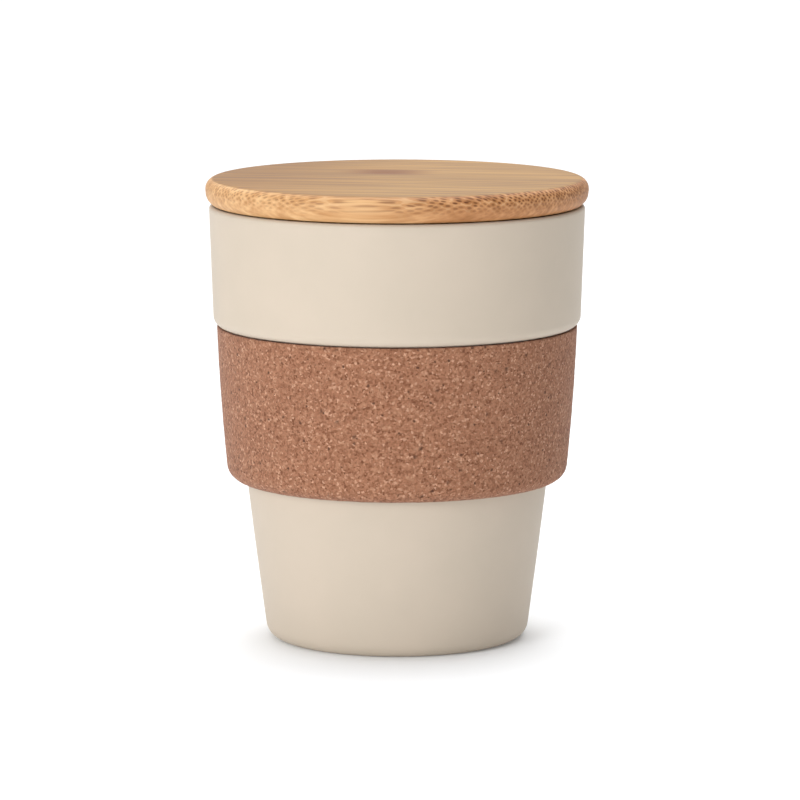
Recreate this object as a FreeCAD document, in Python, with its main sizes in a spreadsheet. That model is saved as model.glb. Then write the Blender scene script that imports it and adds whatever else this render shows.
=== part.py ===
import FreeCAD, Part
import os
import re
import Sketcher

# A free-standing drinking tumbler: a moulded cup, a cork sleeve pushed up under the cup's shoulder,
# and a two-ply bamboo lid with a silicone ring. Every piece is turned or moulded round the Z axis.
# Millimetres; the origin is the middle of the foot, where the cup stands, and +Z points up.

os.makedirs("parts", exist_ok=True)
doc = FreeCAD.newDocument("tumbler")

DIMENSIONS = (
    # cup, outside
    ("rim_height", 104.5, "top of the cup's lip above the table"),
    ("rim_radius", 45.0, "outside of the wall at the lip"),
    ("shoulder_height", 75.5, "underside of the shoulder that stops the sleeve"),
    ("shoulder_radius", 43.95, "outside of the upper wall at the shoulder"),
    ("shoulder_round", 2.6, "rounding of the shoulder's edge"),
    ("seat_radius", 40.2, "lower wall where it meets the shoulder"),
    ("base_radius", 31.2, "lower wall carried down to the table"),
    ("base_round", 3.8, "rounding between the lower wall and the foot"),
    ("wall_curve", 2270, "radius of the slow swell along the lower wall"),
    ("lip_outer_round", 0.9, "rounding of the lip outside"),
    ("lip_inner_round", 1.1, "rounding of the lip inside"),
    # cup, inside and underneath
    ("wall", 2.4, "thickness of the moulded wall"),
    ("ledge_rise", 1.4, "fall of the ledge inside the shoulder, so that it drains"),
    ("ledge_round", 3.0, "rounding of the ledge's inner edge"),
    ("ledge_corner", 1.0, "rounding where the ledge meets the upper wall"),
    ("floor_thickness", 3.0, "floor of the cup"),
    ("inner_base_radius", 29.4, "inside wall carried down to the floor"),
    ("floor_round", 6.0, "rounding between the inside wall and the floor"),
    ("foot_recess", 1.6, "how far the underside is raised inside the foot ring"),
    ("foot_radius", 25.0, "edge of the raised underside"),
    ("foot_slope", 0.8, "draft on the inside of the foot ring"),
    ("gate_radius", 3.0, "dimple left round the moulding gate"),
    ("gate_depth", 0.4, "depth of that dimple"),
    # cork sleeve
    ("sleeve_bottom", 38.4, "lower end of the sleeve"),
    ("sleeve_bottom_radius", 40.65, "outside of the sleeve carried to its lower end"),
    ("sleeve_top_radius", 43.4, "outside of the sleeve at its upper end"),
    ("sleeve_curve", 713, "radius of the slow swell along the sleeve"),
    ("sleeve_lower_round", 3.9, "rounding of the lower outer edge"),
    ("sleeve_upper_round", 0.5, "rounding of the upper outer edge"),
    ("sleeve_clearance", 0.12, "gap between the sleeve and the shoulder above it"),
    ("bore_low_radius", 36.22, "bore at the lower end, 0.12 clear of the cup's wall"),
    ("bore_top_radius", 40.31, "bore at the upper end, 0.12 clear of the cup's wall"),
    ("bore_round", 0.4, "rounding of the bore's lower edge"),
    # lid, measured from the underside of its upper ply
    ("lid_gap", 0.3, "gap between the lip and the upper ply"),
    ("lid_radius", 45.82, "largest radius of the upper ply"),
    ("lid_thickness", 6.2, "thickness of the upper ply"),
    ("lid_upper_round", 2.5, "rounding of the upper edge"),
    ("lid_under_radius", 44.22, "underside of the upper ply"),
    ("lid_under_rise", 3.2, "height at which the undercut edge is upright"),
    ("lid_under_curve", 4.0, "radius of the undercut edge"),
    ("plug_radius", 40.0, "lower ply, which goes into the cup"),
    ("plug_depth", 9.5, "thickness of the lower ply"),
    ("plug_round", 1.2, "rounding of the lower ply's bottom edge"),
    ("groove_drop", 3.2, "from the upper ply down to the ring's groove"),
    ("groove_width", 4.0, "height of the groove"),
    ("groove_depth", 2.0, "depth of the groove"),
    # silicone ring
    ("seal_slack", 0.05, "gap between the ring's band and its groove"),
    ("seal_radius", 42.25, "tips of the ring's two lips"),
    ("lip_root", 1.0, "thickness of a lip where it leaves the band"),
    ("lip_tip", 0.5, "thickness of a lip at its tip"),
    ("lip_lift", 0.5, "how far a lip's tip stands above its root"),
    ("lip_space", 0.75, "band left above the upper lip and below the lower one"),
)

sheet = doc.addObject("Spreadsheet::Sheet", "Sizes")
for row, (alias, size, meaning) in enumerate(DIMENSIONS, start=1):
    sheet.set(f"A{row}", meaning)
    sheet.set(f"B{row}", str(size))
    sheet.setAlias(f"B{row}", alias)
doc.recompute()


def sized(expression):
    """The number that an expression of the sheet's cells stands for."""
    return float(sheet.evalExpression(expression))


def bound(expression):
    """The same expression as another object of the document writes it."""
    return re.sub(r"[a-z]\w*", r"Sizes.\g<0>", expression)


def new_body(label, lift="0"):
    """An empty body; lift is the height of its own origin above the table."""
    body = doc.addObject("PartDesign::Body", label)
    body.Label = label
    body.Placement = FreeCAD.Placement(FreeCAD.Vector(0, 0, sized(lift)), FreeCAD.Rotation())
    body.setExpression("Placement.Base.z", bound(lift))
    return body


def outline(body, name, corners):
    """A closed half section. A corner is (out from the axis, up), or (out, up, radius) where the
    edge to the next corner is an arc of that radius that bows away from the axis."""
    sketch = body.newObject("Sketcher::SketchObject", name)
    plane = next(item for item in body.Origin.OriginFeatures if item.Role == "XZ_Plane")
    sketch.AttachmentSupport = [(plane, "")]
    sketch.MapMode = "FlatFace"
    points = [FreeCAD.Vector(sized(corner[0]), sized(corner[1]), 0) for corner in corners]
    ends = []
    for index, corner in enumerate(corners):
        start = points[index]
        finish = points[(index + 1) % len(points)]
        if len(corner) == 3:
            chord = finish - start
            radius = sized(corner[2])
            swell = radius - (radius**2 - (chord.Length / 2) ** 2) ** 0.5
            away = FreeCAD.Vector(abs(chord.y), -chord.x * chord.y / abs(chord.y), 0).normalize()
            crown = (start + finish) / 2 + away * swell
            sketch.addGeometry(Part.ArcOfCircle(start, crown, finish))
        else:
            sketch.addGeometry(Part.LineSegment(start, finish))
        drawn_forwards = sketch.getPoint(index, 1).distanceToPoint(start) < 1e-6
        ends.append((1, 2) if drawn_forwards else (2, 1))
    for index, corner in enumerate(corners):
        following = (index + 1) % len(corners)
        sketch.addConstraint(
            Sketcher.Constraint("Coincident", index, ends[index][1], following, ends[following][0])
        )
        first = ends[index][0]
        for way, axis, expression in (("DistanceX", -2, corner[0]), ("DistanceY", -1, corner[1])):
            if expression == "0":
                sketch.addConstraint(Sketcher.Constraint("PointOnObject", index, first, axis))
                continue
            number = sketch.addConstraint(
                Sketcher.Constraint(way, -1, 1, index, first, sized(expression))
            )
            sketch.setExpression(f"Constraints[{number}]", bound(expression))
        if len(corner) == 3:
            number = sketch.addConstraint(Sketcher.Constraint("Radius", index, sized(corner[2])))
            sketch.setExpression(f"Constraints[{number}]", bound(corner[2]))
    doc.recompute()
    return sketch


def turned(body, name, sketch):
    """The half section carried once round the Z axis."""
    feature = body.newObject("PartDesign::Revolution", name)
    feature.Profile = sketch
    feature.ReferenceAxis = (sketch, ["V_Axis"])
    feature.Angle = 360
    doc.recompute()
    return feature


def rounded(body, name, radius, out, up):
    """Rounds the circular edge that lies out from the axis and up, both in the body's own frame."""
    base = body.Tip
    ring = [
        f"Edge{number}"
        for number, edge in enumerate(base.Shape.Edges, start=1)
        if isinstance(edge.Curve, Part.Circle)
        and abs(edge.Curve.Radius - sized(out)) < 0.01
        and abs(edge.Curve.Center.z - sized(up)) < 0.01
    ]
    if not ring:
        raise RuntimeError(f"{body.Label}: no edge for {name}")
    fillet = body.newObject("PartDesign::Fillet", name)
    fillet.Base = (base, ring)
    fillet.setExpression("Radius", bound(radius))
    doc.recompute()
    return fillet


# The cup: one thin-walled moulding. Its lower wall tapers to a foot ring, and a shoulder two thirds
# of the way up steps out to the full width, inside as well as outside.
cup_body = new_body("cup_body")
ledge_low = "shoulder_height + wall - ledge_rise / 2"
ledge_high = "shoulder_height + wall + ledge_rise / 2"
floor_top = "foot_recess + floor_thickness"
cup_section = outline(
    cup_body,
    "cup_section",
    (
        ("0", "foot_recess + gate_depth"),
        ("gate_radius", "foot_recess + gate_depth"),
        ("gate_radius", "foot_recess"),
        ("foot_radius", "foot_recess"),
        ("foot_radius + foot_slope", "0"),
        ("base_radius", "0", "wall_curve"),
        ("seat_radius", "shoulder_height"),
        ("shoulder_radius", "shoulder_height"),
        ("rim_radius", "rim_height"),
        ("rim_radius - wall", "rim_height"),
        ("shoulder_radius - wall", ledge_high),
        ("seat_radius - wall", ledge_low, "wall_curve"),
        ("inner_base_radius", floor_top),
        ("0", floor_top),
    ),
)
turned(cup_body, "cup_turned", cup_section)
rounded(cup_body, "base_edge", "base_round", "base_radius", "0")
rounded(cup_body, "shoulder_edge", "shoulder_round", "shoulder_radius", "shoulder_height")
rounded(cup_body, "lip_outside", "lip_outer_round", "rim_radius", "rim_height")
rounded(cup_body, "lip_inside", "lip_inner_round", "rim_radius - wall", "rim_height")
rounded(cup_body, "ledge_edge", "ledge_round", "seat_radius - wall", ledge_low)
rounded(cup_body, "ledge_foot", "ledge_corner", "shoulder_radius - wall", ledge_high)
rounded(cup_body, "floor_edge", "floor_round", "inner_base_radius", floor_top)

# The sleeve: pressed cork granules, turned outside and bored to the taper of the cup's wall, so
# that it grips where it is pushed up against the shoulder and comes loose as it is drawn down.
cork_sleeve = new_body("cork_sleeve")
sleeve_top = "shoulder_height - sleeve_clearance"
sleeve_section = outline(
    cork_sleeve,
    "sleeve_section",
    (
        ("bore_low_radius", "sleeve_bottom"),
        ("sleeve_bottom_radius", "sleeve_bottom", "sleeve_curve"),
        ("sleeve_top_radius", sleeve_top),
        ("bore_top_radius", sleeve_top, "wall_curve"),
    ),
)
turned(cork_sleeve, "sleeve_turned", sleeve_section)
rounded(cork_sleeve, "bore_edge", "bore_round", "bore_low_radius", "sleeve_bottom")
rounded(cork_sleeve, "lower_edge", "sleeve_lower_round", "sleeve_bottom_radius", "sleeve_bottom")
rounded(cork_sleeve, "upper_edge", "sleeve_upper_round", "sleeve_top_radius", sleeve_top)

# The lid's upper ply: a bamboo disc a little wider than the cup, rounded above and undercut below
# so that fingertips find its edge. All of the lid's pieces start from this ply's underside.
lid_level = "rim_height + lid_gap"
lid_disc = new_body("lid_disc", lid_level)
disc_section = outline(
    lid_disc,
    "disc_section",
    (
        ("0", "0"),
        ("lid_under_radius", "0", "lid_under_curve"),
        ("lid_radius", "lid_under_rise"),
        ("lid_radius", "lid_thickness"),
        ("0", "lid_thickness"),
    ),
)
turned(lid_disc, "disc_turned", disc_section)
rounded(lid_disc, "upper_edge_of_lid", "lid_upper_round", "lid_radius", "lid_thickness")

# The lid's lower ply: a thicker bamboo disc glued under the first, which goes into the cup and
# has a square groove round it for the silicone ring.
lid_plug = new_body("lid_plug", lid_level)
groove_low = "-groove_drop - groove_width"
plug_section = outline(
    lid_plug,
    "plug_section",
    (
        ("0", "0"),
        ("0", "-plug_depth"),
        ("plug_radius", "-plug_depth"),
        ("plug_radius", groove_low),
        ("plug_radius - groove_depth", groove_low),
        ("plug_radius - groove_depth", "-groove_drop"),
        ("plug_radius", "-groove_drop"),
        ("plug_radius", "0"),
    ),
)
turned(lid_plug, "plug_turned", plug_section)
rounded(lid_plug, "plug_bottom_edge", "plug_round", "plug_radius", "-plug_depth")

# The ring: a silicone band that fills the groove, with two thin lips that lean up and reach the
# inside of the cup.
lid_seal = new_body("lid_seal", lid_level)
band_inside = "plug_radius - groove_depth + seal_slack"
band_top = "-groove_drop - seal_slack"
band_bottom = groove_low + " + seal_slack"
upper_root = band_top + " - lip_space"
lower_root = band_bottom + " + lip_space + lip_root"


def lip(root):
    """The four corners of one lip, from its lower root round its rounded tip to its upper root."""
    tip_radius = "seal_radius - lip_tip / 2"
    tip_middle = root + " - lip_root / 2 + lip_lift"
    return (
        ("plug_radius", root + " - lip_root"),
        (tip_radius, tip_middle + " - lip_tip / 2", "lip_tip * 0.51"),
        (tip_radius, tip_middle + " + lip_tip / 2"),
        ("plug_radius", root),
    )


seal_section = outline(
    lid_seal,
    "seal_section",
    (
        (band_inside, band_bottom),
        ("plug_radius", band_bottom),
        *lip(lower_root),
        *lip(upper_root),
        ("plug_radius", band_top),
        (band_inside, band_top),
    ),
)
turned(lid_seal, "seal_turned", seal_section)

# Everything is checked before anything is written.
doc.recompute()
for item in doc.Objects:
    if "Invalid" in item.State or "Error" in item.State:
        raise RuntimeError(f"{item.Label}: {item.State}")
pieces = [item for item in doc.Objects if item.TypeId == "PartDesign::Body"]
for piece in pieces:
    if piece.Shape.isNull() or not piece.Shape.isValid() or len(piece.Shape.Solids) != 1:
        raise RuntimeError(f"{piece.Label}: its shape is not one valid solid")
for piece in pieces:
    piece.Shape.exportStep(f"parts/{piece.Label}.step")
    box = piece.Shape.BoundBox
    print(f"{piece.Label}: z {box.ZMin:.2f} to {box.ZMax:.2f}, width {box.XLength:.2f},", end=" ")
    print(f"volume {piece.Shape.Volume / 1000:.2f} ml")
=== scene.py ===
import math

import bpy
import numpy as np
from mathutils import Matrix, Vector, kdtree


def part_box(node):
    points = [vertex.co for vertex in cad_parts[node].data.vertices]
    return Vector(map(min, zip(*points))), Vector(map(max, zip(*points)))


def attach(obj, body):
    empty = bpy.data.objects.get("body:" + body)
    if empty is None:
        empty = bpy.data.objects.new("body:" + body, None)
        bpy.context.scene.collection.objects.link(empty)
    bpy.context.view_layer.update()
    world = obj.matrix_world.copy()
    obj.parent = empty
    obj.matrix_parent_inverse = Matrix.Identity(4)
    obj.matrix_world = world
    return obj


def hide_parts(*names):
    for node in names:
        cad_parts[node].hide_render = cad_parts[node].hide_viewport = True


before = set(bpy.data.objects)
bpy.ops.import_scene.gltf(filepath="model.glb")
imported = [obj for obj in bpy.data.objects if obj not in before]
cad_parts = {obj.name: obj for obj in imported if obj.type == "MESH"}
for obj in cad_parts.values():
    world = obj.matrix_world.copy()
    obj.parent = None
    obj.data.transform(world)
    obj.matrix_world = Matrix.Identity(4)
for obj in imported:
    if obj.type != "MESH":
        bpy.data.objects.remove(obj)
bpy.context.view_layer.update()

# The cup is one thin-walled moulding in plant-based plastic, standing on a foot ring. Its shoulder
# steps out to the full width and stops the sleeve; the lip and every edge are rounded in the mould.
# Sections are in millimetres, out from the axis and up from the table, and materials in metres.
rim_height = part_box("cup_body")[1].z * 1000
rim_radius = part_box("cup_body")[1].x * 1000
shoulder_height = 75.5
shoulder_radius = 43.95
seat_radius = 40.2
base_radius = 31.2
wall = 2.4
wall_swell = 0.32
ledge_outside = shoulder_height + 3.1
ledge_inside = shoulder_height + 1.7
inside_floor = 4.6
inside_floor_radius = 29.4
foot_recess = 1.6
foot_recess_radius = 25.0
foot_inside = 25.8
gate_radius = 3.0
gate_depth = 0.4


def half_section(corners, step):
    """Points round an outline, anticlockwise. A corner is (out, up, rounding, swell, share): the
    edge to the next corner swells away from the axis and has a share of the usual step."""
    count = len(corners)
    spots = [np.array(corner[:2], float) for corner in corners]
    ways = [spots[(i + 1) % count] - spots[i] for i in range(count)]
    bearings = [math.atan2(way[1], way[0]) for way in ways]
    turns = []
    trims = []
    for i in range(count):
        turn = (bearings[i] - bearings[i - 1] + math.pi) % (2 * math.pi) - math.pi
        turns.append(turn)
        trims.append(corners[i][2] * math.tan(abs(turn) / 2) if corners[i][2] else 0)
    points = []
    for i, (out, up, rounding, swell, share) in enumerate(corners):
        before = np.array([math.cos(bearings[i - 1]), math.sin(bearings[i - 1])])
        place = spots[i] - before * trims[i]
        points.append(place)
        if rounding:
            parts = math.ceil(abs(turns[i]) * rounding / min(step, 0.2 * rounding))
            chord = 2 * rounding * math.sin(abs(turns[i]) / (2 * parts))
            for k in range(parts):
                bearing = bearings[i - 1] + turns[i] * (k + 0.5) / parts
                place = place + chord * np.array([math.cos(bearing), math.sin(bearing)])
                points.append(place)
        if out == 0 and corners[(i + 1) % count][0] == 0:
            continue
        along = np.array([math.cos(bearings[i]), math.sin(bearings[i])])
        side = np.array([abs(along[1]), -along[0] * math.copysign(1, along[1])])
        reach = np.linalg.norm(ways[i]) - trims[i] - trims[(i + 1) % count]
        pieces = max(1, round(reach / (step * share)))
        for k in range(1, pieces):
            f = k / pieces
            points.append(place + along * reach * f + side * 4 * swell * f * (1 - f))
    return np.array(points)


def turned(name, points, around, relief=None):
    """The section carried round the axis, and closed on it where the section starts there. relief
    gives how far each point stands proud, in millimetres, from where it is."""
    solid = points[0][0] == 0
    ahead = np.roll(points, -1, 0) - points
    behind = points - np.roll(points, 1, 0)
    tangent = ahead / np.linalg.norm(ahead, axis=1)[:, None]
    tangent = tangent + behind / np.linalg.norm(behind, axis=1)[:, None]
    if solid:
        tangent[0] = (1, 0)
        tangent[-1] = (-1, 0)
    tangent /= np.linalg.norm(tangent, axis=1)[:, None]
    angle = np.arange(around) * 2 * math.pi / around
    cos, sin = np.cos(angle), np.sin(angle)
    rows = len(points)
    heights = np.repeat(points[:, 1], around).reshape(rows, around)
    rises = np.repeat(-tangent[:, 0], around).reshape(rows, around)
    place = np.stack([np.outer(points[:, 0], cos), np.outer(points[:, 0], sin), heights], 2)
    facing = np.stack([np.outer(tangent[:, 1], cos), np.outer(tangent[:, 1], sin), rises], 2)
    if relief:
        place = place + facing * relief(place)[..., None]
    spots = place.reshape(-1, 3)
    grid = np.arange(rows * around).reshape(rows, around)
    if solid:
        middle = place[1:-1].reshape(-1, 3)
        spots = np.vstack([middle, place[0].mean(0), place[-1].mean(0)])
        grid = grid - around
        grid[0] = len(middle)
        grid[-1] = len(middle) + 1
    faces = []
    for i in range(rows - 1 if solid else rows):
        low, high = grid[i], grid[(i + 1) % rows]
        ring = np.stack([low, np.roll(low, -1), np.roll(high, -1), high], 1)
        if solid and i == 0:
            ring = ring[:, [0, 2, 3]]
        if solid and i == rows - 2:
            ring = ring[:, [0, 1, 2]]
        faces += ring.tolist()
    mesh = bpy.data.meshes.new(name)
    mesh.from_pydata((spots * 0.001).tolist(), [], faces)
    mesh.shade_smooth()
    piece = bpy.data.objects.new(name, mesh)
    bpy.context.scene.collection.objects.link(piece)
    return piece


def srgb(code):
    """A hex colour as linear red, green, blue and alpha."""
    parts = [int(code[i : i + 2], 16) / 255 for i in (1, 3, 5)]
    return [c / 12.92 if c <= 0.04045 else ((c + 0.055) / 1.055) ** 2.4 for c in parts] + [1.0]


def add(tree, kind, settings, inputs):
    """Adds a node with its settings, and a link or a value at each input, and gives its outputs.
    The stops of a colour ramp are (position, hex colour), lowest first."""
    made = tree.nodes.new("ShaderNode" + kind)
    for name, value in settings.items():
        if name == "stops":
            for i, (position, code) in enumerate(value):
                stop = made.color_ramp.elements[i] if i < 2 else made.color_ramp.elements.new(1)
                stop.position = position
                stop.color = srgb(code)
        else:
            setattr(made, name, value)
    sockets = {socket.identifier: socket for socket in made.inputs}
    for name, value in inputs.items():
        if isinstance(value, bpy.types.NodeSocket):
            tree.links.new(value, sockets[name])
        else:
            sockets[name].default_value = value
    return {socket.identifier: socket for socket in made.outputs}


def bare_material(name):
    """A new material, and its node tree with nothing in it yet."""
    made = bpy.data.materials.new(name)
    made.use_nodes = True
    made.node_tree.nodes.clear()
    return made, made.node_tree


cup_points = half_section(
    [
        (0, foot_recess + gate_depth, 0, 0, 2),
        (gate_radius, foot_recess + gate_depth, 0.15, 0, 1),
        (gate_radius, foot_recess, 0.15, 0, 1),
        (foot_recess_radius, foot_recess, 0.3, 0, 2),
        (foot_inside, 0, 0.3, 0, 1),
        (base_radius, 0, 3.8, wall_swell, 1),
        (seat_radius, shoulder_height, 0.4, 0, 1),
        (shoulder_radius, shoulder_height, 2.6, 0, 1),
        (rim_radius, rim_height, 0.9, 0, 1),
        (rim_radius - wall, rim_height, 1.1, 0, 1),
        (shoulder_radius - wall, ledge_outside, 1.0, 0, 1),
        (seat_radius - wall, ledge_inside, 3.0, wall_swell, 1),
        (inside_floor_radius, inside_floor, 6.0, 0, 1),
        (0, inside_floor, 0, 0, 2),
    ],
    1.1,
)
cup = turned("moulded_cup", cup_points, 320)

# Moulded plant-based plastic with a fine spark-eroded skin: a warm, nearly matt cream. The skin's
# real grain of 0.1 mm is drawn at 0.35 mm, and the filler makes the colour very slightly cloudy.
skin_grain = 0.00035
cloud_size = 0.016
cream_plastic, tree = bare_material("moulded_cream_plastic")
place = add(tree, "TexCoord", {}, {})["Object"]
cloud = add(tree, "TexNoise", {}, {"Vector": place, "Scale": 1 / cloud_size, "Detail": 3.0})["Fac"]
skin = add(tree, "TexNoise", {}, {"Vector": place, "Scale": 1 / skin_grain, "Detail": 2.0})["Fac"]
colour = add(
    tree, "ValToRGB", {"stops": [(0.3, "#c0b3a2"), (0.7, "#c4b6a5")]}, {"Fac": cloud}
)["Color"]
gloss = add(
    tree,
    "MapRange",
    {},
    {"Value": skin, "From Min": 0.3, "From Max": 0.7, "To Min": 0.52, "To Max": 0.62},
)["Result"]
dimples = add(tree, "Bump", {}, {"Strength": 0.3, "Distance": 0.00002, "Height": skin})["Normal"]
shader = add(
    tree,
    "BsdfPrincipled",
    {},
    {
        "Base Color": colour,
        "IOR": 1.46,
        "Specular IOR Level": 0.35,
        "Roughness": gloss,
        "Normal": dimples,
    },
)
add(tree, "OutputMaterial", {}, {"Surface": shader["BSDF"]})
cup.data.materials.append(cream_plastic)
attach(cup, "cup")
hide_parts("cup_body")

# The sleeve is pressed from cork granules and resin, turned and sanded outside and bored to the
# cup's taper. It is pushed up from below until it sits under the shoulder, and holds by its grip.
sleeve_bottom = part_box("cork_sleeve")[0].z * 1000
sleeve_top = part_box("cork_sleeve")[1].z * 1000
bore_bottom_radius = 36.22
bore_top_radius = 40.31
sleeve_bottom_radius = 40.65
sleeve_top_radius = 43.2
edge_rise = 0.15
sleeve_points = half_section(
    [
        (bore_bottom_radius, sleeve_bottom, 0.4, 0, 1),
        (sleeve_bottom_radius, sleeve_bottom, 3.9, 0.24, 1),
        (sleeve_top_radius, sleeve_top + edge_rise, 0.3, 0, 1),
        (bore_top_radius, sleeve_top, 0.2, 0, 4),
    ],
    0.42,
)

# The granules are scattered through a ring a little wider than the sleeve, one in each cell of a
# cubic lattice. These sizes are in millimetres too.
granule = 0.95
granule_proud = 0.035
groove_width = 0.3
groove_depth = 0.03
pit_share = 0.012
pit_reach = 0.5
pit_depth = 0.3
ring_inside = 35
ring_outside = 45
ring_spare = 2
rng = np.random.default_rng(7)
lattice = np.arange(-ring_outside, ring_outside, granule)
levels = np.arange(sleeve_bottom - ring_spare, sleeve_top + ring_spare, granule)
centres = np.stack(np.meshgrid(lattice, lattice, levels, indexing="ij"), 3).reshape(-1, 3)
centres = centres + rng.uniform(-0.5, 0.5, centres.shape) * granule
far_out = np.hypot(centres[:, 0], centres[:, 1])
centres = centres[(far_out > ring_inside) & (far_out < ring_outside)]
granule_rise = rng.uniform(-granule_proud, granule_proud, len(centres))
granule_gone = rng.random(len(centres)) < pit_share
finder = kdtree.KDTree(len(centres))
for index, centre in enumerate(centres):
    finder.insert(centre, index)
finder.balance()
pit_shade_per_point = []


def pressed_granules(place):
    """Each granule stands a little proud or low, with a groove between it and the next one. A
    few have fallen out and left a pit."""
    rise = np.empty(place.shape[:2])
    for row, ring in enumerate(place):
        for column, spot in enumerate(ring):
            (_, index, near), (_, _, next_near) = finder.find_n(spot, 2)
            groove = max(0.0, 1 - (next_near - near) / groove_width) ** 2
            pit = max(0.0, 1 - (near / pit_reach) ** 2) if granule_gone[index] else 0.0
            # The same pit mask also carries the painted shade for the hollow.
            pit_shade_per_point.append(pit)
            rise[row, column] = granule_rise[index] - groove_depth * groove - pit_depth * pit
    return rise


sleeve = turned("pressed_cork_sleeve", sleeve_points, 640, pressed_granules)
sleeve.data.attributes.new("pit", "FLOAT", "POINT").data.foreach_set("value", pit_shade_per_point)

# Pressed cork: dull, warm brown crumbs of about 0.5 mm in many tones, with finer dust between them,
# a few larger pale chips, dark specks of bark, and painted shade in hollows where a crumb has come
# away.
crumb_size = 0.00048
dust_size = 0.00028
chip_size = 0.0013
bark_size = 0.0014
raggedness = 0.0007
pressed_cork, tree = bare_material("pressed_cork")
place = add(tree, "TexCoord", {}, {})["Object"]
stray = add(tree, "TexNoise", {}, {"Vector": place, "Scale": 1 / raggedness, "Detail": 3.0})["Color"]
ragged = add(
    tree,
    "VectorMath",
    {"operation": "MULTIPLY_ADD"},
    {"Vector": stray, "Vector_001": (raggedness, raggedness, raggedness), "Vector_002": place},
)["Vector"]
crumbs = add(tree, "TexVoronoi", {}, {"Vector": ragged, "Scale": 1 / crumb_size})["Color"]
crumb_tone = add(tree, "SeparateColor", {}, {"Color": crumbs})["Red"]
crumb_colour = add(
    tree,
    "ValToRGB",
    {
        "stops": [
            (0.0, "#6e432d"),
            (0.1, "#82553d"),
            (0.35, "#906249"),
            (0.65, "#996a50"),
            (0.9, "#a5775c"),
            (1.0, "#be9277"),
        ]
    },
    {"Fac": crumb_tone},
)["Color"]
dust = add(tree, "TexVoronoi", {}, {"Vector": ragged, "Scale": 1 / dust_size})["Color"]
dust_tone = add(tree, "SeparateColor", {}, {"Color": dust})["Green"]
dust_shade = add(
    tree, "MapRange", {}, {"Value": dust_tone, "To Min": 0.83, "To Max": 1.15}
)["Result"]
dusted = add(
    tree, "VectorMath", {"operation": "SCALE"}, {"Vector": crumb_colour, "Scale": dust_shade}
)["Vector"]
covers = []
chips = (chip_size, 0.72, 0.4, 0.55)
bark = (bark_size, 0.7, 0.3, 0.85)
for size, rarity, reach, strength in (chips, bark):
    spots = add(tree, "TexVoronoi", {}, {"Vector": ragged, "Scale": 1 / size})
    pick = add(tree, "SeparateColor", {}, {"Color": spots["Color"]})["Blue"]
    edge = add(
        tree,
        "MapRange",
        {},
        {"Value": pick, "From Min": rarity, "From Max": 1.0, "To Max": reach},
    )["Result"]
    outside = add(
        tree, "Math", {"operation": "SUBTRACT"}, {"Value": spots["Distance"], "Value_001": edge}
    )["Value"]
    covers.append(
        add(
            tree,
            "MapRange",
            {"interpolation_type": "SMOOTHSTEP"},
            {
                "Value": outside,
                "From Min": -0.08,
                "From Max": 0.02,
                "To Min": strength,
                "To Max": 0.0,
            },
        )["Result"]
    )
# The hollows' dark colour is painted shade, laid where the pit attribute marks a fallen crumb.
painted_pit_shade = add(tree, "Attribute", {"attribute_name": "pit"}, {})["Fac"]
colour = dusted
for cover, code in ((covers[0], "#b4886b"), (covers[1], "#4a2d20"), (painted_pit_shade, "#3b2319")):
    colour = add(
        tree,
        "Mix",
        {"data_type": "RGBA"},
        {"Factor_Float": cover, "A_Color": colour, "B_Color": srgb(code)},
    )["Result_Color"]
uneven = add(
    tree,
    "Math",
    {"operation": "MULTIPLY_ADD"},
    {"Value": dust_tone, "Value_001": 0.5, "Value_002": crumb_tone},
)["Value"]
nap = add(tree, "Bump", {}, {"Strength": 0.5, "Distance": 0.00006, "Height": uneven})["Normal"]
shader = add(
    tree,
    "BsdfPrincipled",
    {},
    {
        "Base Color": colour,
        "IOR": 1.45,
        "Specular IOR Level": 0.25,
        "Roughness": 0.88,
        "Sheen Weight": 0.06,
        "Sheen Roughness": 0.6,
        "Normal": nap,
    },
)
add(tree, "OutputMaterial", {}, {"Surface": shader["BSDF"]})
sleeve.data.materials.append(pressed_cork)
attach(sleeve, "sleeve")
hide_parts("cork_sleeve")

# The lid's upper ply is a solid bamboo disc, sawn from strips glued side by side, turned with a
# rounded top edge and an undercut for the fingertips, then sanded and waxed.
disc_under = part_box("lid_disc")[0].z * 1000
disc_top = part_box("lid_disc")[1].z * 1000
disc_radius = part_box("lid_disc")[1].x * 1000
disc_under_radius = 44.22
undercut_height = 3.2
disc_points = half_section(
    [
        (0, disc_under, 0, 0, 4),
        (disc_under_radius, disc_under, 0.3, 0.42, 0.5),
        (disc_radius, disc_under + undercut_height, 0.6, 0, 1),
        (disc_radius, disc_top, 2.5, 0, 2),
        (0, disc_top, 0, 0, 1),
    ],
    0.8,
)
disc = turned("bamboo_disc", disc_points, 360)
strip_width = 0.019
first_strip = 1.84
bundle_pitch = 0.00086
sway_width = 0.0015
sway_length = 0.012


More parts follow.
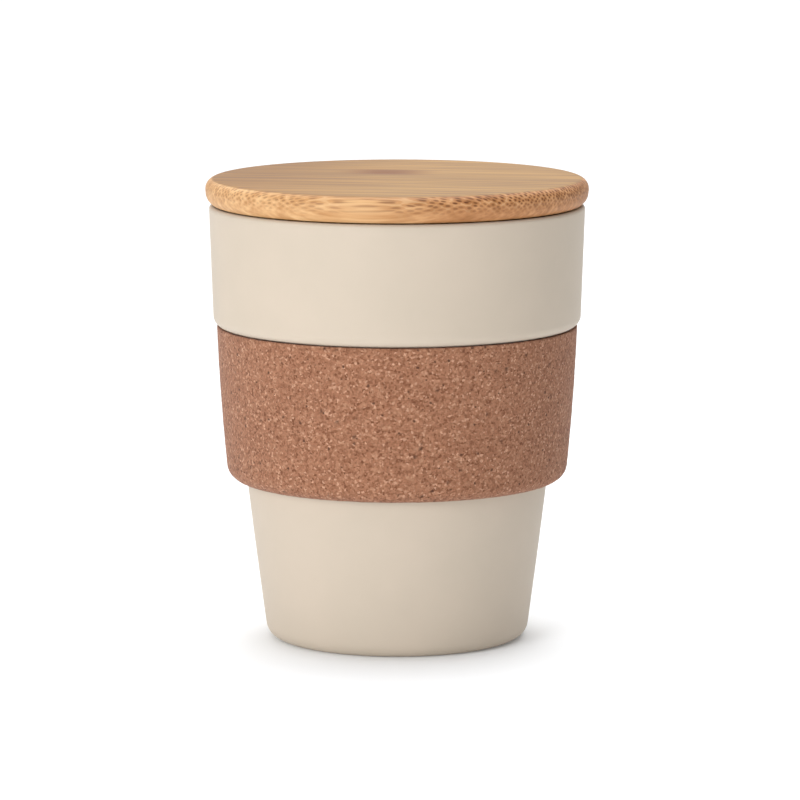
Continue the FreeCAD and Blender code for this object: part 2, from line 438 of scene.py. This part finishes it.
def bamboo(name, grain, skin_side, soft_side, node_band):
    """Waxed bamboo. Its fibre bundles run along the grain, so they are dark dots on end grain,
    dashes where the edge cuts them at a slant, and fine lines on the faces. They crowd towards the
    skin side. The grain is an angle, the sides are heights, and a node band is (along, across)."""
    made, tree = bare_material(name)
    coordinates = add(tree, "TexCoord", {}, {})
    place = coordinates["Object"]
    lie = add(
        tree, "Mapping", {"vector_type": "TEXTURE"}, {"Vector": place, "Rotation": (0, 0, grain)}
    )["Vector"]
    lie_parts = add(tree, "SeparateXYZ", {}, {"Vector": lie})

    # Light and dark fibres, 1.3 mm and 2.6 mm wide, and the sawn strips, each with its own tone on
    # the edge. Real fibres are under 1 mm wide, and these are drawn coarser so that they show.
    fibres = []
    for length, width in ((0.035, 0.0013), (0.08, 0.0026)):
        stretched = add(
            tree,
            "Mapping",
            {"vector_type": "TEXTURE"},
            {"Vector": lie, "Scale": (length, width, width)},
        )["Vector"]
        fibres.append(
            add(tree, "TexNoise", {}, {"Vector": stretched, "Scale": 1.0, "Detail": 4.0})["Fac"]
        )
    strip = add(
        tree,
        "Math",
        {"operation": "MULTIPLY_ADD"},
        {"Value": lie_parts["Y"], "Value_001": 1 / strip_width, "Value_002": first_strip},
    )["Value"]
    strip_number = add(tree, "Math", {"operation": "FLOOR"}, {"Value": strip})["Value"]
    strip_tone = add(
        tree, "TexWhiteNoise", {"noise_dimensions": "1D"}, {"W": strip_number}
    )["Value"]
    tone = add(
        tree,
        "Math",
        {"operation": "MULTIPLY_ADD"},
        {"Value": fibres[1], "Value_001": 0.8, "Value_002": fibres[0]},
    )["Value"]
    tone = add(
        tree,
        "Math",
        {"operation": "MULTIPLY_ADD"},
        {"Value": strip_tone, "Value_001": 0.15, "Value_002": tone},
    )["Value"]
    tone = add(
        tree, "MapRange", {}, {"Value": tone, "From Min": 0.7, "From Max": 1.25}
    )["Result"]

    # The bundles stand in a diamond net with a pitch of 0.86 mm, and sway a little on their way.
    sway = add(
        tree, "TexNoise", {}, {"Vector": place, "Scale": 1 / sway_length, "Detail": 1.0}
    )["Color"]
    swayed = add(
        tree,
        "VectorMath",
        {"operation": "MULTIPLY_ADD"},
        {"Vector": sway, "Vector_001": (sway_width, sway_width, sway_width), "Vector_002": place},
    )["Vector"]
    bundle_lie = add(
        tree,
        "Mapping",
        {"vector_type": "TEXTURE"},
        {
            "Vector": swayed,
            "Rotation": (math.radians(45), 0, grain),
            "Scale": (1, bundle_pitch, bundle_pitch),
        },
    )["Vector"]
    bundle_parts = add(tree, "SeparateXYZ", {}, {"Vector": bundle_lie})
    section = add(tree, "CombineXYZ", {}, {"X": bundle_parts["Y"], "Y": bundle_parts["Z"]})
    bundles = add(
        tree,
        "TexVoronoi",
        {"voronoi_dimensions": "2D"},
        {"Vector": section["Vector"], "Scale": 1.0, "Randomness": 0.55},
    )
    bundle_cover = add(
        tree,
        "MapRange",
        {"interpolation_type": "SMOOTHSTEP"},
        {
            "Value": bundles["Distance"],
            "From Min": 0.16,
            "From Max": 0.4,
            "To Min": 1.0,
            "To Max": 0.0,
        },
    )["Result"]
    height = add(tree, "SeparateXYZ", {}, {"Vector": place})["Z"]
    depth = add(
        tree, "MapRange", {}, {"Value": height, "From Min": soft_side, "From Max": skin_side}
    )["Result"]
    crowding = add(
        tree,
        "MapRange",
        {"interpolation_type": "SMOOTHSTEP"},
        {
            "Value": depth,
            "From Min": 0.2,
            "From Max": 0.8,
            "To Min": 0.15,
            "To Max": 1.0,
        },
    )["Result"]
    # The edge's colour and its dots get darker towards one end of the grain.
    deeper_along_grain = add(
        tree,
        "MapRange",
        {},
        {
            "Value": lie_parts["X"],
            "From Min": -0.004,
            "From Max": 0.022,
        },
    )["Result"]
    dots_deeper_along_grain = add(
        tree, "MapRange", {}, {"Value": deeper_along_grain, "To Min": 0.5, "To Max": 1.0}
    )["Result"]
    bundle_tone = add(tree, "SeparateColor", {}, {"Color": bundles["Color"]})["Red"]
    patchy = add(
        tree, "MapRange", {}, {"Value": bundle_tone, "To Min": 0.6, "To Max": 1.0}
    )["Result"]
    dots = bundle_cover
    for share in (crowding, dots_deeper_along_grain, patchy):
        dots = add(
            tree, "Math", {"operation": "MULTIPLY"}, {"Value": dots, "Value_001": share}
        )["Value"]

    # The edge is more orange than the faces and lighter than their painted shade, and its tone gets
    # deeper along the grain. Paler tissue shows between the bundles where they crowd.
    edge_pale = add(
        tree,
        "ValToRGB",
        {"stops": [(0.0, "#b78654"), (0.5, "#c69867"), (1.0, "#d6ac7b")]},
        {"Fac": tone},
    )["Color"]
    edge_deep = add(
        tree,
        "ValToRGB",
        {"stops": [(0.0, "#a06b3d"), (0.5, "#b0794b"), (1.0, "#c38d5d")]},
        {"Fac": tone},
    )["Color"]
    edge_colour = add(
        tree,
        "Mix",
        {"data_type": "RGBA"},
        {"Factor_Float": deeper_along_grain, "A_Color": edge_pale, "B_Color": edge_deep},
    )["Result_Color"]
    between = add(
        tree,
        "MapRange",
        {"interpolation_type": "SMOOTHSTEP"},
        {
            "Value": bundles["Distance"],
            "From Min": 0.48,
            "From Max": 0.7,
            "To Max": 0.3,
        },
    )["Result"]
    between = add(
        tree, "Math", {"operation": "MULTIPLY"}, {"Value": between, "Value_001": crowding}
    )["Value"]
    netted = add(
        tree,
        "Mix",
        {"data_type": "RGBA"},
        {"Factor_Float": between, "A_Color": edge_colour, "B_Color": srgb("#e8c598")},
    )["Result_Color"]
    dotted = add(
        tree,
        "Mix",
        {"data_type": "RGBA"},
        {"Factor_Float": dots, "A_Color": netted, "B_Color": srgb("#613619")},
    )["Result_Color"]

    # The faces are browner and plainer, and deepest at one end of the grain. Their palettes are also
    # darker than the edge's, as painted shade on the top face.
    face_tone = add(
        tree,
        "Math",
        {"operation": "MULTIPLY_ADD"},
        {"Value": fibres[1], "Value_001": 0.35, "Value_002": fibres[0]},
    )["Value"]
    face_tone = add(
        tree, "MapRange", {}, {"Value": face_tone, "From Min": 0.5, "From Max": 0.85}
    )["Result"]
    face_pale = add(
        tree,
        "ValToRGB",
        {"stops": [(0.0, "#8a6335"), (0.5, "#9f7946"), (1.0, "#b38a54")]},
        {"Fac": face_tone},
    )["Color"]
    face_deep = add(
        tree,
        "ValToRGB",
        {"stops": [(0.0, "#785023"), (0.5, "#8b6332"), (1.0, "#9f7542")]},
        {"Fac": face_tone},
    )["Color"]
    paleness = add(
        tree,
        "MapRange",
        {},
        {"Value": lie_parts["X"], "From Min": -0.032, "From Max": 0.004},
    )["Result"]
    face_colour_painted_shade = add(
        tree,
        "Mix",
        {"data_type": "RGBA"},
        {"Factor_Float": paleness, "A_Color": face_deep, "B_Color": face_pale},
    )["Result_Color"]

    # A node of the stem crosses one strip as a darker, blurred band.
    band_along, band_across = node_band
    off_centre = add(
        tree,
        "VectorMath",
        {"operation": "SUBTRACT"},
        {"Vector": lie, "Vector_001": (band_along, band_across, 0)},
    )["Vector"]
    off_parts = add(tree, "SeparateXYZ", {}, {"Vector": off_centre})
    smudge = 1.0
    for way, inner, outer in (("X", 0.001, 0.014), ("Y", 0.003, 0.008)):
        off = add(tree, "Math", {"operation": "ABSOLUTE"}, {"Value": off_parts[way]})["Value"]
        fade = add(
            tree,
            "MapRange",
            {"interpolation_type": "SMOOTHSTEP"},
            {"Value": off, "From Min": inner, "From Max": outer, "To Min": 1.0, "To Max": 0.0},
        )["Result"]
        smudge = add(
            tree, "Math", {"operation": "MULTIPLY"}, {"Value": fade, "Value_001": smudge}
        )["Value"]
    smudge = add(
        tree, "Math", {"operation": "MULTIPLY"}, {"Value": smudge, "Value_001": 0.8}
    )["Value"]
    face_colour_painted_shade = add(
        tree,
        "Mix",
        {"data_type": "RGBA"},
        {"Factor_Float": smudge, "A_Color": face_colour_painted_shade, "B_Color": srgb("#753f0f")},
    )["Result_Color"]

    # A surface facing up or down takes the face's look and painted shade, and any other the edge's.
    upward = add(tree, "SeparateXYZ", {}, {"Vector": coordinates["Normal"]})["Z"]
    flatness = add(tree, "Math", {"operation": "ABSOLUTE"}, {"Value": upward})["Value"]
    face_share = add(
        tree,
        "MapRange",
        {"interpolation_type": "SMOOTHSTEP"},
        {"Value": flatness, "From Min": 0.88, "From Max": 0.98},
    )["Result"]
    colour = add(
        tree,
        "Mix",
        {"data_type": "RGBA"},
        {"Factor_Float": face_share, "A_Color": dotted, "B_Color": face_colour_painted_shade},
    )["Result_Color"]
    gloss = add(
        tree,
        "MapRange",
        {},
        {"Value": fibres[0], "From Min": 0.3, "From Max": 0.7, "To Min": 0.5, "To Max": 0.64},
    )["Result"]
    raised = add(
        tree, "Bump", {}, {"Strength": 0.3, "Distance": 0.00005, "Height": fibres[0]}
    )["Normal"]
    shader = add(
        tree,
        "BsdfPrincipled",
        {},
        {
            "Base Color": colour,
            "IOR": 1.5,
            "Specular IOR Level": 0.35,
            "Roughness": gloss,
            "Normal": raised,
        },
    )
    add(tree, "OutputMaterial", {}, {"Surface": shader["BSDF"]})
    return made


waxed_bamboo = bamboo(
    "waxed_bamboo", math.radians(-9), disc_top / 1000, disc_under / 1000, (-0.0044, 0.012)
)
disc.data.materials.append(waxed_bamboo)
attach(disc, "lid")
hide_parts("lid_disc")

# The lid's lower ply is a second bamboo disc, glued under the first with its grain crosswise so
# that the lid stays flat. A square groove is turned in its edge for the ring.
plug_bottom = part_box("lid_plug")[0].z * 1000
plug_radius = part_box("lid_plug")[1].x * 1000
groove_top = disc_under - 3.2
groove_bottom = groove_top - 4.0
groove_radius = plug_radius - 2.0
plug_points = half_section(
    [
        (0, plug_bottom, 0, 0, 2),
        (plug_radius, plug_bottom, 1.2, 0, 1),
        (plug_radius, groove_bottom, 0.15, 0, 1),
        (groove_radius, groove_bottom, 0.1, 0, 1),
        (groove_radius, groove_top, 0.1, 0, 1),
        (plug_radius, groove_top, 0.15, 0, 1),
        (plug_radius, disc_under, 0, 0, 4),
        (0, disc_under, 0, 0, 1),
    ],
    0.8,
)
plug = turned("bamboo_plug", plug_points, 320)
plug.data.materials.append(
    bamboo(
        "crosswise_bamboo", math.radians(81), plug_bottom / 1000, disc_under / 1000, (0.02, -0.02)
    )
)
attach(plug, "lid")
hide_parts("lid_plug")

# The ring is moulded in silicone and stretched into the groove. Its two thin lips bend against the
# inside of the cup, and hold the lid by friction alone.
band_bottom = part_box("lid_seal")[0].z * 1000
band_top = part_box("lid_seal")[1].z * 1000
lip_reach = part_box("lid_seal")[1].x * 1000
band_radius = 38.05
lip_margin = 0.75
lip_root_width = 1.0
lip_rise = 0.75
lip_tip_width = 0.5
seal_corners = [(band_radius, band_bottom, 0.1, 0, 1), (plug_radius, band_bottom, 0.15, 0, 1)]
for lip_root in (band_bottom + lip_margin, band_top - lip_margin - lip_root_width):
    seal_corners += [
        (plug_radius, lip_root, 0.12, 0, 1),
        (lip_reach, lip_root + lip_rise, 0.24, 0, 1),
        (lip_reach, lip_root + lip_rise + lip_tip_width, 0.24, 0, 1),
        (plug_radius, lip_root + lip_root_width, 0.12, 0, 1),
    ]
seal_corners += [(plug_radius, band_top, 0.15, 0, 1), (band_radius, band_top, 0.1, 0, 1)]
seal = turned("silicone_ring", half_section(seal_corners, 0.3), 320)

# Silicone rubber: milky, slightly see-through at the thin lips, with a soft satin skin.
bloom_size = 0.004
silicone, tree = bare_material("milky_silicone")
place = add(tree, "TexCoord", {}, {})["Object"]
bloom = add(tree, "TexNoise", {}, {"Vector": place, "Scale": 1 / bloom_size, "Detail": 3.0})["Fac"]
colour = add(
    tree, "ValToRGB", {"stops": [(0.3, "#d6d2c8"), (0.7, "#e0ddd4")]}, {"Fac": bloom}
)["Color"]
gloss = add(
    tree,
    "MapRange",
    {},
    {"Value": bloom, "From Min": 0.3, "From Max": 0.7, "To Min": 0.32, "To Max": 0.45},
)["Result"]
shader = add(
    tree,
    "BsdfPrincipled",
    {},
    {
        "Base Color": colour,
        "IOR": 1.41,
        "Roughness": gloss,
        "Subsurface Weight": 0.3,
        "Subsurface Radius": (1, 1, 1),
        "Subsurface Scale": 0.0004,
    },
)
add(tree, "OutputMaterial", {}, {"Surface": shader["BSDF"]})
seal.data.materials.append(silicone)
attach(seal, "lid")
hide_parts("lid_seal")

# The tumbler stands on a wide sheet of matt white paper, which glows a little so that the ground
# stays light round the shadow.
sheet_reach = 6.0
corners = [(-1, -1), (1, -1), (1, 1), (-1, 1)]
sheet = [(x * sheet_reach, y * sheet_reach, 0) for x, y in corners]
floor_mesh = bpy.data.meshes.new("floor")
floor_mesh.from_pydata(sheet, [], [(0, 1, 2, 3)])
floor = bpy.data.objects.new("floor", floor_mesh)
bpy.context.scene.collection.objects.link(floor)
paper, tree = bare_material("white_paper")
shader = add(
    tree,
    "BsdfPrincipled",
    {},
    {
        "Base Color": (0.88, 0.9, 0.92, 1),
        "Roughness": 0.9,
        "Emission Color": (1, 1, 1, 1),
        "Emission Strength": 0.08,
    },
)
add(tree, "OutputMaterial", {}, {"Surface": shader["BSDF"]})
floor.data.materials.append(paper)

# A white studio: an even glow from all round, brighter high up behind the object and high up on its
# right, with a dark flag beside it on the right. A direction is (azimuth, elevation) in degrees,
# from the camera's side and turning to the left.


def towards(azimuth, elevation):
    """The direction as a vector of length one."""
    turn, rise = math.radians(azimuth), math.radians(elevation)
    flat = math.cos(rise)
    return Vector((-math.sin(turn) * flat, -math.cos(turn) * flat, math.sin(rise)))


studio = bpy.data.worlds.new("white_studio")
bpy.context.scene.world = studio
studio.use_nodes = True
tree = studio.node_tree
tree.nodes.clear()
look = add(tree, "TexCoord", {}, {})["Generated"]
glow = 0.6
high_behind = (180, 55, 8, 2.2)
high_right = (-125, 68, 10, 0.9)
dark_flag = (-90, 0, 2, -0.6)
for azimuth, elevation, tightness, strength in (high_behind, high_right, dark_flag):
    lined_up = add(
        tree,
        "VectorMath",
        {"operation": "DOT_PRODUCT"},
        {"Vector": look, "Vector_001": towards(azimuth, elevation)},
    )["Value"]
    facing = add(
        tree, "Math", {"operation": "MAXIMUM"}, {"Value": lined_up, "Value_001": 0.0}
    )["Value"]
    spread = add(
        tree, "Math", {"operation": "POWER"}, {"Value": facing, "Value_001": tightness}
    )["Value"]
    glow = add(
        tree,
        "Math",
        {"operation": "MULTIPLY_ADD"},
        {"Value": spread, "Value_001": strength, "Value_002": glow},
    )["Value"]
# The glow is white along the horizon too, so that the paper has no visible end.
look_rise = add(tree, "SeparateXYZ", {}, {"Vector": look})["Z"]
off_level = add(tree, "Math", {"operation": "ABSOLUTE"}, {"Value": look_rise})["Value"]
skyline = add(
    tree,
    "MapRange",
    {"interpolation_type": "SMOOTHSTEP"},
    {"Value": off_level, "From Min": 0.02, "From Max": 0.07, "To Min": 0.45, "To Max": 0.0},
)["Result"]
glow = add(tree, "Math", {"operation": "ADD"}, {"Value": glow, "Value_001": skyline})["Value"]
sky = add(tree, "Background", {}, {"Color": (1, 1, 1, 1), "Strength": glow})
add(tree, "OutputWorld", {}, {"Surface": sky["Background"]})

# Two round softboxes: the key stands low on the left in front, and the other hangs overhead.
middle = Vector((0, 0, 0.06))
softbox_width = 0.8
softbox_distance = 1.6
softboxes = (
    ("key_softbox", 34, 17, 11.8),
    ("overhead_softbox", 0, 90, 8.6),
)
for name, azimuth, elevation, power in softboxes:
    light = bpy.data.lights.new(name, "AREA")
    light.shape = "DISK"
    light.size = softbox_width
    light.energy = power
    lamp = bpy.data.objects.new(name, light)
    bpy.context.scene.collection.objects.link(lamp)
    lamp.location = middle + softbox_distance * towards(azimuth, elevation)
    lamp.rotation_euler = (middle - lamp.location).to_track_quat("-Z", "Y").to_euler()

# The camera is 1.2 m away and looks down a little, with a long lens.
camera_data = bpy.data.cameras.new("camera")
camera_data.sensor_width = 36
camera_data.lens = 227
camera = bpy.data.objects.new("camera", camera_data)
bpy.context.scene.collection.objects.link(camera)
camera.location = (0.0007, -1.2, 0.2339)
aim = Vector((0.0007, 0, 0.0572))
camera.rotation_euler = (aim - camera.location).to_track_quat("-Z", "Y").to_euler()
bpy.context.scene.camera = camera
bpy.context.scene.view_settings.view_transform = "Standard"
